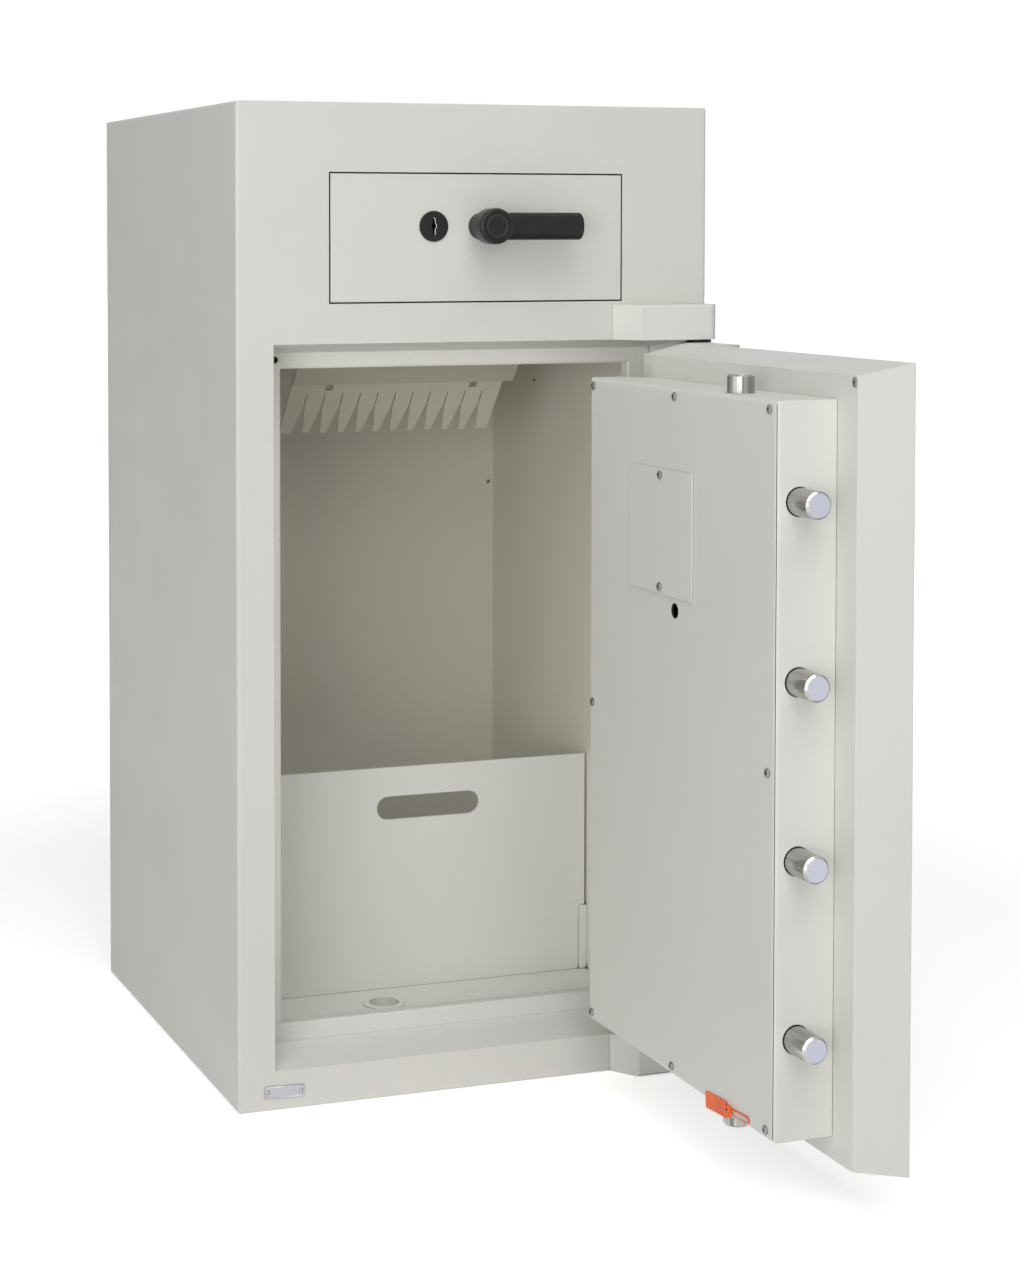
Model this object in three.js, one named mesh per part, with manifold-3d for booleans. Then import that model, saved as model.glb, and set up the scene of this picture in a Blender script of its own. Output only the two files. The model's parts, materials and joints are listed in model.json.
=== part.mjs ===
// A free-standing drop safe with a deposit drawer above a bolted safe door.
// All sizes are in millimetres. +Z is up and the front faces -Y.
// Pieces are laid out from the left side (x), the front face (y) and the base (z) of the body.
// The door and all that it carries are laid out closed, then turned open together about the hinge.

import * as THREE from 'three';
import { mergeVertices } from 'three/addons/utils/BufferGeometryUtils.js';
import Module from 'manifold-3d';

const wasm = await Module();
wasm.setup();

// Fits that several pieces share
const seatGap = 0.3;
const slideGap = 0.4;
const boreGap = 0.8;
const overrun = 3;
const quarter = Math.PI / 2;
const degree = Math.PI / 180;
const mergeDistance = 1e-4;
const roundSides = 24;
const smallSides = 12;
const boltSides = 32;
const discSides = 40;
const foldSteps = 2;
const arcSteps = 4;

// Body: welded double-skin shell with folded edges
const body = { width: 510, depth: 525, height: 1000, wall: 38.5, floor: 44.5, fold: 3.5 };

// Doorway with a tapered rebate, measured down from the top, and the stop frame behind it
const doorway = { fromTop: 239, rebate: 56, rise: 10.5, sideTaper: 4, hingeFrame: 17, hingeTaper: 21 };
const stopFrame = { depth: 15, side: 25, hingeSide: 24, lintel: 26.6, sill: 22.9, ease: 2 };
const sightHole = { diameter: 7, inset: 6, rise: 9 };

// Small blind holes in the side wall and in the back wall, measured down from the doorway's top
const wallHole = { diameter: 4.5, depth: 2.5, sideY: 361, sideDrop: 62, backInset: 7, backDrop: 192 };

// Shelf between the safe and the drawer compartment, with the drop throat
const shelf = { thick: 38.5, latchPocket: 14.5 };
const throat = { width: 251, front: 178, rear: 318 };

// Sloping comb under the throat, hung from a carrier sheet
const comb = {
  sheet: 1.6, slope: 40.6, setback: 38, drop: 52.3, overlap: 4.5, shortfall: 11, lap: 15, length: 74.5,
  tines: 12, slitTop: 15.3, slitEnd: 32.4, slit: 1, tip: 7, corner: 3, flange: 22,
  notchWidth: 9, notchHeight: 10, notchInset: 38.5,
};

// Lift-out retainer plate and its guides
const retainer = {
  front: 210, sheet: 3, height: 243.5, sideGap: 2.5, slotOffset: 26.3, slotRise: 198.9, slotWidth: 119.5,
  slotHeight: 25.4,
};
const plateGuide = { height: 72, sheet: 1.6, lip: 9, play: 0.8 };

// Anchor hole through the floor, left of the middle
const anchor = { offset: 44, plateGap: 28, bore: 33, wall: 1.2, flange: 5, rimHeight: 1.8, rimEase: 0.8 };

// Hinge at the front right corner, measured from the body's right side and front
const hinge = {
  reach: 17.5, rearGap: 1.5, flat: 1, corner: 10, kink: 107, facet: 87, block: 36.5, blockRound: 3,
  pin: 14, pinDepth: 24, collar: 26,
};

// Door leaf
const leaf = { stopGap: 1, gap: 3, hingeEase: 0.6, root: 2, openAngle: 90 };
const rebateScrew = { inset: 5.1, drop: 6, sink: 1.3 };

// Pressed cover over the boltwork, with a lip that hooks behind the stop frame
const cover = {
  freeGap: 16, neckGap: 1.5, neckClear: 2.7, lipGap: 3.5, lipClear: 11.7, boltGap: 7, sillGap: 5.1,
  lintelGap: 8.9, sheet: 3, innerBend: 1, spindleHole: 14.5,
};
const accessPlate = {
  leftReach: 37.5, width: 133.5, lift: 12.4, height: 120.2, sheet: 1.5, corner: 1.5, border: 14,
  screwInset: 6.7,
};
const screw = {
  shank: 4.2, shankLength: 10, head: 8.5, headEdge: 0.7, headHeight: 1.8, crown: 5.2, cross: 4.6,
  slot: 1.1, slotDepth: 1.1,
};
const screwPlaces = { sideGap: 5.5, middleOffset: 23, middleDrop: 1.3 };
const post = { diameter: 9 };
const deadBar = { thick: 10, footDepth: 18 };

// Boltwork
const bolt = { diameter: 25, frameGap: 8.2, bevel: 2 };
const sideBolts = { tipGap: 6, length: 85.5, stroke: 32, count: 4, pitchShare: 0.2205 };
const endBolts = { offset: 66, length: 53, stroke: 18, lintelGap: 18, sillGap: 7.5 };
const boltGuide = { inset: 24.5, thick: 6, margin: 18 };
const carrier = { thick: 6, margin: 16, armHalf: 13, rodHalf: 9, footHalf: 12, pinMargin: 10 };
const cam = {
  offset: 20.5, drop: 210.1, radius: 70, leafGap: 6, thick: 6, hub: 30, hubLength: 4, sideOut: 58, endOut: 56,
  pin: 8, armGap: 1, slotSteps: 14, overTurn: 11, spindle: 16, collar: 26, collarThick: 8,
};

// Lever handle, the same on the door and on the drawer
const lever = {
  stem: 28, stemTop: 27, head: 36, headBack: 21, headFront: 43, rim: 2.6, cap: 27, capGroove: 0.7,
  length: 95, gripHeight: 27.4, gripFront: 41.5, gripThick: 14.5, gripRound: 6, tipRadius: 30, bore: 14,
};

// Key lock, the same on the door and on the drawer
const lock = {
  rose: 31, roseThick: 1.4, case: 27.4, caseLap: 2, core: 20, keyHeight: 17, keyWidth: 2.6, keyDepth: 14,
  keyBow: 5.4, tongueWidth: 12, tongueHub: 18, tongueThick: 6,
};
const doorLock = { offset: 29.5, rise: 84.6, reach: 28, notchGap: 1 };

// Deposit drawer, with its latch and its lock measured from the middle
const drawer = {
  width: 315, lift: 2.8, height: 127.4, wallStep: 0.5, gap: 1.5, latchOffset: 3,
  lockOffset: 48.5, spindleRise: 75.2, latchReach: 88, lockReach: 64,
};
const tray = {
  sideInset: 14, sheet: 2, lift: 0.8, topDrop: 27.7, frontGap: 3, rear: 300, floorRise: 65.7, throatLap: 2,
};
const runner = {
  setback: 20, rear: 330, height: 50, sheet: 3, lip: 8, barHeight: 20, barThick: 9, play: 0.8, foot: 16,
};

// Bare plate on the front, and the security tag on the boltwork cover
const plate = {
  x: 47.8, z: 17.6, width: 41.8, height: 12, thick: 0.8, corner: 1, tilt: 2, rivet: 4.5, inset: 3.6, dome: 1,
};
const tag = {
  inset: 105, lift: 1.7, width: 40, height: 15, thick: 1.4, corner: 1, tilt: 4, head: 10, headThick: 4.2,
  strapLength: 34, strapHeight: 7.5, strapWidth: 1.3,
};

// Places that follow from the sizes above
const middleX = body.width / 2;
const wallBack = body.depth - body.wall;
const wallRight = body.width - body.wall;
const roofUnder = body.height - body.wall;
const doorwayTop = body.height - doorway.fromTop;
const shelfTop = doorwayTop + shelf.thick;
const frameFront = doorway.rebate + seatGap;
const frameBack = frameFront + stopFrame.depth;
const frameOpening = {
  x0: body.wall + stopFrame.side,
  x1: wallRight - stopFrame.hingeSide,
  z0: body.floor + stopFrame.sill,
  z1: doorwayTop - stopFrame.lintel,
};
const anchorX = middleX - anchor.offset;
const anchorHole = anchor.bore + 2 * anchor.wall + 2 * seatGap;
const anchorRim = anchorHole + 2 * anchor.flange;
const anchorY = retainer.front - anchorRim / 2 - anchor.plateGap;
const hingeX = body.width - hinge.reach;
const hingeY = -hinge.reach - hinge.rearGap;
const hingeFront = hingeY - hinge.flat - hinge.corner;
const kinkX = body.width - hinge.kink;
const facetX = body.width - hinge.facet;
const leafThick = doorway.rebate - leaf.stopGap;
const leafBottom = body.wall + leaf.gap;
const leafTop = doorwayTop - leaf.gap;
const leafMiddle = (leafBottom + leafTop) / 2;
const boltY = frameBack + bolt.frameGap + bolt.diameter / 2;
const coverBack = leafThick + seatGap;
const innerFace = boltY + bolt.diameter / 2 + cover.boltGap;
const coverFace = innerFace + cover.sheet;
const coverBend = cover.sheet + cover.innerBend;
const coverLeft = frameOpening.x0 + cover.freeGap;
const coverNeck = frameOpening.x1 - cover.neckGap;
const coverLip = wallRight - cover.lipGap;
const coverBottom = frameOpening.z0 + cover.sillGap;
const coverTop = frameOpening.z1 - cover.lintelGap;
const camX = middleX + cam.offset;
const camZ = coverTop - cam.drop;
const camY = leafThick + cam.leafGap;
const armY = camY + cam.thick + cam.armGap;
const boltTip = body.wall + sideBolts.tipGap;
const endBoltX = middleX - endBolts.offset;
const upperTip = doorwayTop - endBolts.lintelGap;
const lowerTip = body.floor + endBolts.sillGap;
const doorLockX = camX + doorLock.offset;
const doorLockZ = camZ + doorLock.rise;
const drawerThick = body.wall - drawer.wallStep;
const tongueY = drawerThick + lock.caseLap + seatGap;
const drawerLeft = middleX - drawer.width / 2;
const drawerRight = middleX + drawer.width / 2;
const drawerBottom = shelfTop + drawer.lift;
const drawerTop = drawerBottom + drawer.height;
const spindleZ = drawerBottom + drawer.spindleRise;
const latchX = middleX + drawer.latchOffset;
const drawerLockX = middleX - drawer.lockOffset;
const boltPitch = sideBolts.pitchShare * (leafTop - leafBottom);
const sideBoltRows = Array.from({ length: sideBolts.count },
  (_, row) => leafMiddle + (row - (sideBolts.count - 1) / 2) * boltPitch);
const lowestBolt = Math.min(...sideBoltRows);
const highestBolt = Math.max(...sideBoltRows);

// Solids

function signedVolume(positions, indices) {
  const corner = [new THREE.Vector3(), new THREE.Vector3(), new THREE.Vector3()];
  let volume = 0;
  for (let i = 0; i < indices.length; i += 3) {
    corner.forEach((point, side) => point.fromArray(positions, indices[i + side] * 3));
    volume += corner[0].dot(corner[1].cross(corner[2])) / 6;
  }
  return volume;
}

// A closed geometry as a solid, with its shared corners merged and its faces pointing out
function toSolid(geometry) {
  const bare = geometry.clone();
  bare.deleteAttribute('normal');
  bare.deleteAttribute('uv');
  const merged = mergeVertices(bare, mergeDistance);
  const positions = merged.attributes.position.array;
  const triangles = [];
  for (let i = 0; i < merged.index.count; i += 3) {
    const [a, b, c] = merged.index.array.slice(i, i + 3);
    if (a !== b && b !== c && c !== a) triangles.push(a, b, c);
  }
  if (signedVolume(positions, triangles) < 0) triangles.reverse();
  return new wasm.Manifold(new wasm.Mesh({
    numProp: 3,
    vertProperties: new Float32Array(positions),
    triVerts: new Uint32Array(triangles),
  }));
}

function toGeometry(solid) {
  const mesh = solid.getMesh();
  const geometry = new THREE.BufferGeometry();
  geometry.setAttribute('position', new THREE.BufferAttribute(new Float32Array(mesh.vertProperties), 3));
  geometry.setIndex(new THREE.BufferAttribute(new Uint32Array(mesh.triVerts), 1));
  geometry.computeVertexNormals();
  return geometry;
}

function join(solids) {
  return solids.reduce((whole, next) => whole.add(next));
}

function box(x0, x1, y0, y1, z0, z1) {
  const geometry = new THREE.BoxGeometry(x1 - x0, y1 - y0, z1 - z0);
  return toSolid(geometry.translate((x0 + x1) / 2, (y0 + y1) / 2, (z0 + z1) / 2));
}

// A block between a rectangle in x and z at y0 and another at y1
function taperedBlock(front, y0, back, y1) {
  const corners = (r, y) => [r.x0, y, r.z0, r.x1, y, r.z0, r.x1, y, r.z1, r.x0, y, r.z1];
  const places = new Float32Array([...corners(front, y0), ...corners(back, y1)]);
  const geometry = new THREE.BufferGeometry();
  geometry.setAttribute('position', new THREE.BufferAttribute(places, 3));
  geometry.setIndex([
    0, 1, 2, 0, 2, 3, 4, 6, 5, 4, 7, 6, 0, 5, 1, 0, 4, 5,
    1, 6, 2, 1, 5, 6, 2, 7, 3, 2, 6, 7, 3, 4, 0, 3, 7, 4,
  ]);
  return toSolid(geometry);
}

const outward = {
  right: new THREE.Vector3(1, 0, 0),
  left: new THREE.Vector3(-1, 0, 0),
  back: new THREE.Vector3(0, 1, 0),
  front: new THREE.Vector3(0, -1, 0),
  up: new THREE.Vector3(0, 0, 1),
  down: new THREE.Vector3(0, 0, -1),
};

// A profile of radius and height, turned about an axis that leaves the given place
function turned(profile, towards, x, y, z, sides = roundSides) {
  const points = profile.map(([radius, height]) => new THREE.Vector2(radius, height));
  const geometry = new THREE.LatheGeometry(points, sides);
  const swing = new THREE.Quaternion().setFromUnitVectors(outward.back, outward[towards]);
  return toSolid(geometry.applyQuaternion(swing).translate(x, y, z));
}

function roundBar(diameter, length, towards, x, y, z, sides = roundSides) {
  const radius = diameter / 2;
  return turned([[0, 0], [radius, 0], [radius, length], [0, length]], towards, x, y, z, sides);
}

function outline(points) {
  return new THREE.Shape(points.map(([u, v]) => new THREE.Vector2(u, v)));
}

function roundedRectangle(u0, u1, v0, v1, radius) {
  const shape = new THREE.Shape();
  shape.absarc(u1 - radius, v0 + radius, radius, -quarter, 0);
  shape.absarc(u1 - radius, v1 - radius, radius, 0, quarter);
  shape.absarc(u0 + radius, v1 - radius, radius, quarter, 2 * quarter);
  shape.absarc(u0 + radius, v0 + radius, radius, 2 * quarter, 3 * quarter);
  shape.closePath();
  return shape;
}

// An outline laid on two directions and given a thickness along the third
function slab(shape, along, across, depth, place, curveSegments = foldSteps) {
  const geometry = new THREE.ExtrudeGeometry(shape, { depth, bevelEnabled: false, curveSegments });
  const through = along.clone().cross(across);
  const basis = new THREE.Matrix4().makeBasis(along, across, through).setPosition(...place);
  return toSolid(geometry.applyMatrix4(basis));
}

// An outline in x and y, raised from z0 to z1
function uprightPrism(shape, z0, z1, curveSegments) {
  return slab(shape, outward.right, outward.back, z1 - z0, [0, 0, z0], curveSegments);
}

// An outline in x and z, running back from y0 to y1
function facePrism(shape, y0, y1, curveSegments) {
  return slab(shape, outward.right, outward.up, y1 - y0, [0, y1, 0], curveSegments);
}

// An outline in y and z, running across from x0 to x1
function crossPrism(shape, x0, x1) {
  return slab(shape, outward.back, outward.up, x1 - x0, [x0, 0, 0]);
}

function mirrored(solid) {
  return solid.mirror([1, 0, 0]).translate([body.width, 0, 0]);
}

// Finishes

const finishes = {
  paint: { color: 0xd3d1c9, roughness: 0.55, metalness: 0.05 },
  inside: { color: 0xcdcbc1, roughness: 0.6, metalness: 0.05 },
  chrome: { color: 0xd8dadc, roughness: 0.18, metalness: 1 },
  steel: { color: 0xa9abad, roughness: 0.4, metalness: 0.9 },
  black: { color: 0x1d1d1f, roughness: 0.5, metalness: 0 },
  brass: { color: 0xb08d4a, roughness: 0.35, metalness: 0.9 },
  orange: { color: 0xe0623a, roughness: 0.5, metalness: 0 },
};

function piece(name, solid, finish) {
  const material = new THREE.MeshStandardMaterial({ ...finishes[finish], flatShading: true });
  const mesh = new THREE.Mesh(toGeometry(solid), material);
  mesh.name = name;
  return mesh;
}

// Body

function doorwayAt(y) {
  const share = y / doorway.rebate;
  return {
    x0: body.wall + doorway.sideTaper * share,
    x1: body.width - doorway.hingeFrame - doorway.hingeTaper * share,
    z0: body.wall + doorway.rise * share,
    z1: doorwayTop - doorway.rise * share,
  };
}

// The shell's long and upright edges are folded, so they are round
function makeShell() {
  const fromFront = facePrism(roundedRectangle(0, body.width, 0, body.height, body.fold), 0, body.depth);
  return fromFront.intersect(uprightPrism(
    roundedRectangle(0, body.width, 0, body.depth, body.fold), 0, body.height));
}

function makeBody() {
  const safeSpace = box(body.wall, wallRight, doorway.rebate, wallBack, body.floor, roofUnder);
  const drawerSpace = box(
    body.wall, wallRight, body.wall, doorway.rebate + overrun, shelfTop - shelf.latchPocket, roofUnder);
  const rebateEnd = doorway.rebate + overrun;
  const rebate = taperedBlock(doorwayAt(-overrun), -overrun, doorwayAt(rebateEnd), rebateEnd);
  const drawerHole = box(
    drawerLeft - drawer.gap, drawerRight + drawer.gap, -overrun, body.wall + overrun,
    drawerBottom - drawer.gap, drawerTop + drawer.gap);
  const floorHole = roundBar(
    anchorHole, body.floor + 2 * overrun, 'up', anchorX, anchorY, -overrun);
  const depth = wallHole.depth + overrun;
  const sideHole = roundBar(
    wallHole.diameter, depth, 'right', wallRight - overrun, wallHole.sideY, doorwayTop - wallHole.sideDrop,
    smallSides);
  const backHole = roundBar(
    wallHole.diameter, depth, 'back', wallRight - wallHole.backInset, wallBack - overrun,
    doorwayTop - wallHole.backDrop, smallSides);
  return makeShell().subtract(join([
    safeSpace, drawerSpace, rebate, drawerHole, floorHole, sideHole, backHole,
  ]));
}

function makeShelf() {
  const plateSolid = box(
    body.wall + seatGap, wallRight - seatGap, frameFront, wallBack - seatGap, doorwayTop, shelfTop);
  return plateSolid.subtract(box(
    middleX - throat.width / 2, middleX + throat.width / 2, throat.front, throat.rear,
    doorwayTop - overrun, shelfTop + overrun));
}

function makeStopFrame() {
  const eased = {
    x0: frameOpening.x0 - stopFrame.ease, x1: frameOpening.x1 + stopFrame.ease,
    z0: frameOpening.z0 - stopFrame.ease, z1: frameOpening.z1 + stopFrame.ease,
  };
  const outer = box(
    body.wall + seatGap, wallRight - seatGap, frameFront, frameBack,
    body.floor + seatGap, doorwayTop - seatGap);
  const inner = box(
    frameOpening.x0, frameOpening.x1, frameFront - overrun, frameBack + overrun,
    frameOpening.z0, frameOpening.z1);
  const hole = roundBar(
    sightHole.diameter, stopFrame.depth + 2 * overrun, 'back',
    frameOpening.x0 - sightHole.inset, frameFront - overrun, frameOpening.z1 + sightHole.rise);
  return outer.subtract(inner).subtract(hole)
    .subtract(taperedBlock(eased, frameFront, frameOpening, frameFront + stopFrame.ease));
}

// Hinge

function hingeOutline(rear) {
  const shape = new THREE.Shape();
  shape.moveTo(kinkX, rear);
  shape.lineTo(facetX, hingeFront);
  shape.absarc(body.width - hinge.corner, hingeFront + hinge.corner, hinge.corner, -quarter, 0);
  shape.lineTo(body.width, rear);
  shape.closePath();
  return shape;
}

// A block from the height next to the leaf to its far end, whose edges are softened
function makeHingeBlock(near, far) {
  const away = Math.sign(far - near);
  const soft = hinge.blockRound;
  const square = near - 2 * soft * away;
  const [low, high] = [Math.min(square, far), Math.max(square, far)];
  const blank = uprightPrism(
    hingeOutline(-seatGap), Math.min(near, far), Math.max(near, far), arcSteps);
  const fromSide = crossPrism(roundedRectangle(hingeFront, 2 * soft, low, high, soft), 0, body.width);
  const fromFront = facePrism(roundedRectangle(0, body.width, low, high, soft), hingeFront, 0);
  const bore = roundBar(
    hinge.pin + 2 * seatGap, hinge.pinDepth + 2 * seatGap, away > 0 ? 'up' : 'down',
    hingeX, hingeY, near - seatGap * away);
  return blank.intersect(fromSide).intersect(fromFront).subtract(bore);
}

// A pin across the gap that starts at z, with a collar that fills the gap
function makeHingePin(z) {
  const length = 2 * hinge.pinDepth + leaf.gap;
  const pin = roundBar(hinge.pin, length, 'up', hingeX, hingeY, z - hinge.pinDepth);
  return pin.add(roundBar(hinge.collar, leaf.gap - 2 * seatGap, 'up', hingeX, hingeY, z + seatGap));
}

// Comb under the drop throat: outlines lie in the slope, with their second axis running up it

const upSlope = new THREE.Vector3(0, -Math.sin(comb.slope * degree), Math.cos(comb.slope * degree));
const combLeft = middleX - (throat.width + comb.overlap) / 2;
const combRight = middleX + (throat.width + comb.overlap) / 2;
const combY = throat.front + comb.setback;
const combZ = doorwayTop - comb.drop;

function onSlope(shape, offset, thick = comb.sheet) {
  const through = outward.right.clone().cross(upSlope).multiplyScalar(offset);
  const place = [0, combY + through.y, combZ + through.z];
  return slab(shape, outward.right, upSlope, thick, place);
}

function makeCombCarrier() {
  const ceiling = doorwayTop - seatGap;
  const rise = (ceiling - combZ) / upSlope.z;
  const sheet = onSlope(
    roundedRectangle(combLeft, combRight, 0, rise + 2 * comb.corner, comb.corner), seatGap);
  const bendY = combY + rise * upSlope.y;
  const flange = box(
    combLeft, combRight, bendY - comb.flange, bendY - seatGap, ceiling - comb.sheet, ceiling);
  const above = box(
    combLeft - overrun, combRight + overrun, 0, combY, ceiling, ceiling + comb.flange);
  return sheet.add(flange).subtract(above);
}

function makeComb() {
  const right = combRight - comb.shortfall;
  const pitch = (right - combLeft) / comb.tines;
  const gapHalf = (pitch - comb.tip) / 2;
  const slitHalf = comb.slit / 2;
  const blank = onSlope(outline([
    [combLeft, -comb.length], [right, -comb.length], [right, comb.lap], [combLeft, comb.lap],
  ]), -comb.sheet);
  const cuts = [];
  for (let tine = 1; tine < comb.tines; tine += 1) {
    const x = combLeft + tine * pitch;
    const end = -comb.length - overrun;
    cuts.push([
      [x - gapHalf, end], [x + gapHalf, end], [x + gapHalf, -comb.length], [x + slitHalf, -comb.slitEnd],
      [x + slitHalf, -comb.slitTop], [x - slitHalf, -comb.slitTop], [x - slitHalf, -comb.slitEnd],
      [x - gapHalf, -comb.length],
    ]);
  }
  for (const left of [combLeft + comb.notchInset, right - comb.notchInset]) {
    const notchRight = left + comb.notchWidth;
    cuts.push([[left, -comb.notchHeight], [notchRight, -comb.notchHeight], [notchRight, 0], [left, 0]]);
  }
  const through = comb.sheet + 2 * overrun;
  return blank.subtract(join(cuts.map((points) => onSlope(outline(points), -comb.sheet - overrun, through))));
}

// Retainer plate and its guides

function makeRetainer() {
  const sheet = box(
    body.wall + retainer.sideGap, wallRight - retainer.sideGap, retainer.front,
    retainer.front + retainer.sheet, body.floor + seatGap, body.floor + retainer.height);
  const slotHalf = retainer.slotWidth / 2;
  const slotRadius = retainer.slotHeight / 2;
  const slotX = middleX + retainer.slotOffset;
  const slotZ = body.floor + retainer.slotRise;
  const slot = facePrism(
    roundedRectangle(
      slotX - slotHalf, slotX + slotHalf, slotZ - slotRadius, slotZ + slotRadius, slotRadius),
    retainer.front - overrun, retainer.front + retainer.sheet + overrun, arcSteps);
  return sheet.subtract(slot);
}

function makePlateGuide() {
  const x0 = body.wall + seatGap;
  const z0 = body.floor + seatGap;
  const frontLip = retainer.front - plateGuide.play - plateGuide.sheet;
  const rearLip = retainer.front + retainer.sheet + plateGuide.play;
  const channel = outline([
    [x0, frontLip], [x0 + plateGuide.lip, frontLip],
    [x0 + plateGuide.lip, frontLip + plateGuide.sheet], [x0 + plateGuide.sheet, frontLip + plateGuide.sheet],
    [x0 + plateGuide.sheet, rearLip], [x0 + plateGuide.lip, rearLip],
    [x0 + plateGuide.lip, rearLip + plateGuide.sheet], [x0, rearLip + plateGuide.sheet],
  ]);
  return uprightPrism(channel, z0, z0 + plateGuide.height);
}

function makeAnchorGrommet() {
  const boreRadius = anchor.bore / 2;
  const sleeveRadius = boreRadius + anchor.wall;
  const rimRadius = anchorRim / 2;
  const rimBase = body.floor + seatGap;
  const rimTop = rimBase + anchor.rimHeight;
  return turned([
    [boreRadius, seatGap], [sleeveRadius, seatGap], [sleeveRadius, rimBase], [rimRadius, rimBase],
    [rimRadius, rimTop - anchor.rimEase], [rimRadius - anchor.rimEase, rimTop], [boreRadius, rimTop],
    [boreRadius, seatGap],
  ], 'up', anchorX, anchorY, 0);
}

function makeNameplate() {
  const shape = roundedRectangle(
    -plate.width / 2, plate.width / 2, -plate.height / 2, plate.height / 2, plate.corner);
  const reach = plate.width / 2 - plate.inset;
  const radius = plate.rivet / 2;
  const crown = plate.thick + plate.dome;
  const dome = [[0, 0], [radius, 0], [radius, crown - plate.dome / 2], [radius / 2, crown], [0, crown]];
  const rivets = [-reach, reach].map((x) => turned(dome, 'front', x, -seatGap, 0, smallSides));
  return join([facePrism(shape, -seatGap - plate.thick, -seatGap), ...rivets])
    .rotate([0, plate.tilt, 0]).translate([plate.x, 0, plate.z]);
}

// Lever handle on a face at y = 0, pointing to the right

function makeLever(x, z) {
  const stemRadius = lever.stem / 2;
  const headRadius = lever.head / 2;
  const knob = turned([
    [0, slideGap], [stemRadius, slideGap], [lever.stemTop / 2, lever.headBack - lever.rim],
    [headRadius - lever.rim, lever.headBack], [headRadius, lever.headBack + lever.rim],
    [headRadius, lever.headFront - lever.rim],
    [headRadius - lever.rim * (1 - Math.SQRT1_2), lever.headFront - lever.rim * (1 - Math.SQRT1_2)],
    [headRadius - lever.rim, lever.headFront], [0, lever.headFront],
  ], 'front', x, 0, z, discSides);
  const half = lever.gripHeight / 2;
  const section = crossPrism(
    roundedRectangle(
      -lever.gripFront, lever.gripThick - lever.gripFront, z - half, z + half, lever.gripRound),
    x, x + lever.length);
  const tipAngle = Math.asin(half / lever.tipRadius);
  const side = new THREE.Shape();
  side.moveTo(x, z + half);
  side.lineTo(x, z - half);
  side.absarc(x + lever.length - lever.tipRadius, z, lever.tipRadius, -tipAngle, tipAngle);
  side.closePath();
  const grip = section.intersect(facePrism(side, -lever.headFront, 0, arcSteps));
  const grooveY = lever.capGroove - lever.headFront;
  const groove = roundBar(
    lever.cap + 2 * lever.capGroove, lever.capGroove + overrun, 'front', x, grooveY, z).subtract(
    roundBar(lever.cap, lever.capGroove + overrun, 'front', x, grooveY, z));
  const bore = roundBar(cam.spindle + 2 * seatGap, lever.bore + overrun, 'front', x, overrun, z);
  return knob.add(grip).subtract(groove).subtract(bore);
}

function makeSpindle(x, z, rearEnd) {
  const front = lever.bore - seatGap;
  return roundBar(cam.spindle, front + rearEnd, 'back', x, -front, z);
}

// Key lock in a panel whose face is at y = 0

function keyhole(x, z, y0, y1) {
  const slot = box(
    x - lock.keyWidth / 2, x + lock.keyWidth / 2, y0, y1, z - lock.keyHeight / 2, z + lock.keyHeight / 2);
  return slot.add(roundBar(lock.keyBow, y1 - y0, 'back', x, y0, z, smallSides));
}

function makeRose(x, z) {
  const front = -seatGap - lock.roseThick;
  const radius = lock.rose / 2;
  const ease = lock.roseThick / 2;
  const disc = turned([
    [0, 0], [radius, 0], [radius, ease], [radius - ease, lock.roseThick], [0, lock.roseThick],
  ], 'front', x, -seatGap, z);
  return disc.subtract(keyhole(x, z, front - overrun, overrun));
}

function makeLockCase(x, z, panel) {
  const length = panel + lock.caseLap;
  return roundBar(lock.case, length, 'back', x, 0, z).subtract(
    roundBar(lock.core + boreGap, length + 2 * overrun, 'back', x, -overrun, z));
}

function makeLockCore(x, z, tongueY) {
  const core = roundBar(lock.core, tongueY - 2 * seatGap, 'back', x, seatGap, z);
  return core.subtract(keyhole(x, z, 0, lock.keyDepth));
}

// A finger that turns with a spindle or a lock core, pointing along x
function makeTongue(x, z, y, reach, side) {
  const tip = x + side * reach;
  const hub = roundBar(lock.tongueHub, lock.tongueThick, 'back', x, y, z);
  const half = lock.tongueWidth / 2;
  const finger = facePrism(
    roundedRectangle(Math.min(x, tip), Math.max(x, tip), z - half, z + half, half / 2),
    y, y + lock.tongueThick);
  return hub.add(finger);
}

function boredTongue(tongue, x, z, y) {
  return tongue.subtract(roundBar(
    cam.spindle + 2 * seatGap, lock.tongueThick + 2 * overrun, 'back', x, y - overrun, z));
}

// Places of the screws that hold the cover and of the one in the leaf's rebate

const coverMiddleZ = (coverBottom + coverTop) / 2;
const screwInset = coverBend + post.diameter / 2 - seatGap;
const freeInset = cover.sheet + post.diameter / 2 + screwPlaces.sideGap;
const hingeInset = cover.sheet + screwPlaces.sideGap;
const screwRows = [
  coverBottom + screwInset, coverMiddleZ - screwPlaces.middleDrop, coverTop - screwInset,
];
const freePlaces = screwRows.map((z) => [coverLeft + freeInset, z]);
const middlePlaces = [screwRows[0], screwRows[2]].map((z) => [middleX + screwPlaces.middleOffset, z]);
const hingePlaces = screwRows.map((z) => [coverLip - hingeInset, z]);
const coverScrewPlaces = [...freePlaces, ...middlePlaces, ...hingePlaces];
const leafBack = leafAt(leafThick);
const rebateScrewPlace = [leafBack.x0 + rebateScrew.inset, leafBack.z1 - rebateScrew.drop];

function screwBores(places, y1, depth) {
  return join(places.map(([x, z]) => roundBar(screw.shank + boreGap, depth, 'front', x, y1, z, smallSides)));
}

// Door leaf

function leafAt(y) {
  const opening = doorwayAt(y);
  return {
    x0: opening.x0 + leaf.gap,
    x1: opening.x1 - leaf.gap - leaf.hingeEase * y / leafThick,
    z0: opening.z0 + leaf.gap,
    z1: opening.z1 - leaf.gap,
  };
}

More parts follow.
